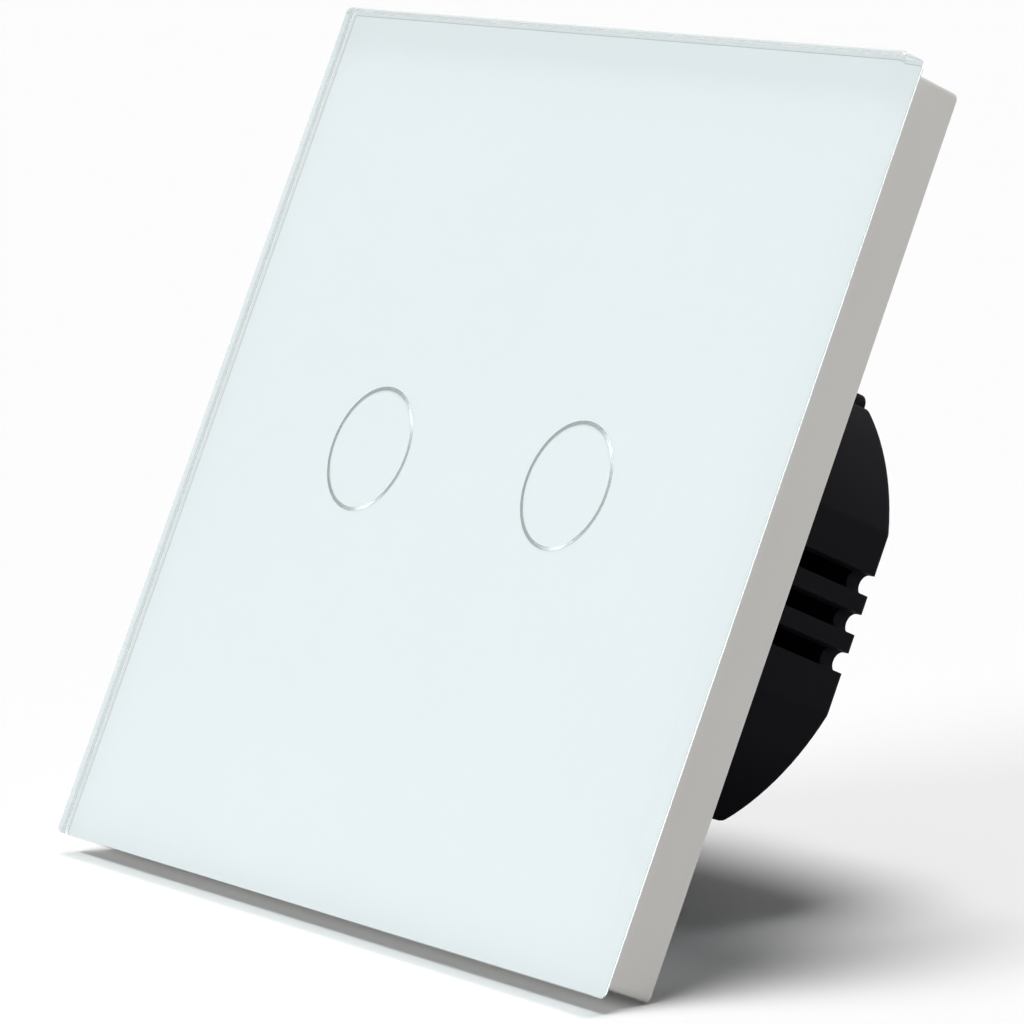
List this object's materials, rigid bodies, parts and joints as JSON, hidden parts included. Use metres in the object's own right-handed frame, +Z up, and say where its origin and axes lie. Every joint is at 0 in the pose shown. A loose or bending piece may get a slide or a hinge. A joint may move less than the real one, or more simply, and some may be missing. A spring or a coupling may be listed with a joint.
{
  "type": "light switch",
  "caption": "Glass touch light switch for a round wall box: square pull-off panel with ring keys, mounting plate, vented round housing, relays and screw terminals.",
  "frame": {"origin": "middle of the wall plane, between the two slots of the mounting plate", "axes": "+X to the right as one faces the switch, +Y into the wall, +Z up"},
  "size_m": [0.086, 0.0324, 0.086],
  "materials": {
    "clear_glass": "clear low-iron glass, polished edges",
    "white_print": "white paint printed on the back of the glass",
    "ring_ink": "silver-grey translucent ink",
    "foam_tape": "white double-sided foam tape",
    "frame_plastic": "warm grey polycarbonate, fine matt",
    "plate_steel": "zinc-plated pressed steel",
    "black_plastic": "black flame-retardant polycarbonate",
    "screw_steel": "zinc-plated steel",
    "circuit_board": "green solder resist on glass fibre",
    "chip_resin": "black moulded resin",
    "white_nylon": "natural nylon",
    "lamp_resin": "clear resin over phosphor",
    "guide_plastic": "milky diffusing plastic",
    "spring_steel": "tinned spring wire",
    "connector_plastic": "black nylon with tinned pins",
    "can_sleeve": "dark blue sleeve, bare top",
    "capacitor_case": "black box, resin filled",
    "ferrite": "ferrite",
    "shrink_sleeve": "black shrink sleeve over enamelled copper",
    "fuse_ceramic": "ceramic tube with plated caps",
    "varistor_coat": "blue dipped epoxy",
    "terminal_plastic": "black polyamide",
    "brass": "bright brass",
    "relay_case": "black moulded case",
    "relay_iron": "nickel-plated soft iron",
    "coil_copper": "enamelled copper winding"
  },
  "bodies": {
    "base": {"mounting_plate": "plate_steel", "rear_housing": "black_plastic", "housing_screws": "screw_steel", "touch_board": "circuit_board", "touch_controller": "chip_resin", "board_posts": "white_nylon", "left_lamp": "lamp_resin", "right_lamp": "lamp_resin", "left_light_guide": "guide_plastic", "right_light_guide": "guide_plastic", "left_touch_spring": "spring_steel", "right_touch_spring": "spring_steel", "board_header": "connector_plastic", "board_socket": "connector_plastic", "power_board": "circuit_board", "power_controller": "chip_resin", "smoothing_capacitor": "can_sleeve", "filter_capacitor": "capacitor_case", "choke_core": "ferrite", "choke_winding": "shrink_sleeve", "fuse": "fuse_ceramic", "varistor": "varistor_coat", "terminal_block": "terminal_plastic", "terminal_cage_1": "brass", "terminal_cage_2": "brass", "terminal_cage_3": "brass", "relay_base_1": "relay_case", "relay_cover_1": "relay_case", "relay_frame_1": "relay_iron", "relay_coil_1": "coil_copper", "relay_contact_1": "brass", "relay_base_2": "relay_case", "relay_cover_2": "relay_case", "relay_frame_2": "relay_iron", "relay_coil_2": "coil_copper", "relay_contact_2": "brass"},
    "front_panel": {"glass_panel": "clear_glass", "back_print": "white_print", "ring_marks": "ring_ink", "adhesive_tape": "foam_tape", "front_frame": "frame_plastic"},
    "clamp_1": {"wire_clamp_1": "plate_steel"},
    "screw_1": {"terminal_screw_1": "screw_steel"},
    "clamp_2": {"wire_clamp_2": "plate_steel"},
    "screw_2": {"terminal_screw_2": "screw_steel"},
    "clamp_3": {"wire_clamp_3": "plate_steel"},
    "screw_3": {"terminal_screw_3": "screw_steel"},
    "armature_1": {"relay_armature_1": "relay_iron"},
    "armature_2": {"relay_armature_2": "relay_iron"}
  },
  "joints": [
    {"name": "panel_pull", "type": "slide", "parent": "base", "child": "front_panel", "axis": [0, -1, 0], "range_m": [0, 0.012]},
    {"name": "clamp_slide_1", "type": "slide", "parent": "base", "child": "clamp_1", "axis": [0, -1, 0], "range_m": [0, 0.0024]},
    {"name": "screw_turn_1", "type": "hinge", "parent": "clamp_1", "child": "screw_1", "pos_m": [-0.008, 0.0206, -0.0163], "axis": [0, -1, 0], "range_deg": [0, 1440]},
    {"name": "clamp_slide_2", "type": "slide", "parent": "base", "child": "clamp_2", "axis": [0, -1, 0], "range_m": [0, 0.0024]},
    {"name": "screw_turn_2", "type": "hinge", "parent": "clamp_2", "child": "screw_2", "pos_m": [0, 0.0206, -0.0163], "axis": [0, -1, 0], "range_deg": [0, 1440]},
    {"name": "clamp_slide_3", "type": "slide", "parent": "base", "child": "clamp_3", "axis": [0, -1, 0], "range_m": [0, 0.0024]},
    {"name": "screw_turn_3", "type": "hinge", "parent": "clamp_3", "child": "screw_3", "pos_m": [0.008, 0.0206, -0.0163], "axis": [0, -1, 0], "range_deg": [0, 1440]},
    {"name": "armature_swing_1", "type": "hinge", "parent": "base", "child": "armature_1", "pos_m": [-0.01415, 0.016, -0.0094], "axis": [1, 0, 0], "range_deg": [0, 4.5], "stiffness_Nm_per_rad": 0.004},
    {"name": "armature_swing_2", "type": "hinge", "parent": "base", "child": "armature_2", "pos_m": [-0.00305, 0.016, -0.0094], "axis": [1, 0, 0], "range_deg": [0, 4.5], "stiffness_Nm_per_rad": 0.004}
  ],
  "couplings": [
    {"joint": "screw_turn_1", "follows": "clamp_slide_1", "rad_per_m": 10472},
    {"joint": "screw_turn_2", "follows": "clamp_slide_2", "rad_per_m": 10472},
    {"joint": "screw_turn_3", "follows": "clamp_slide_3", "rad_per_m": 10472}
  ]
}
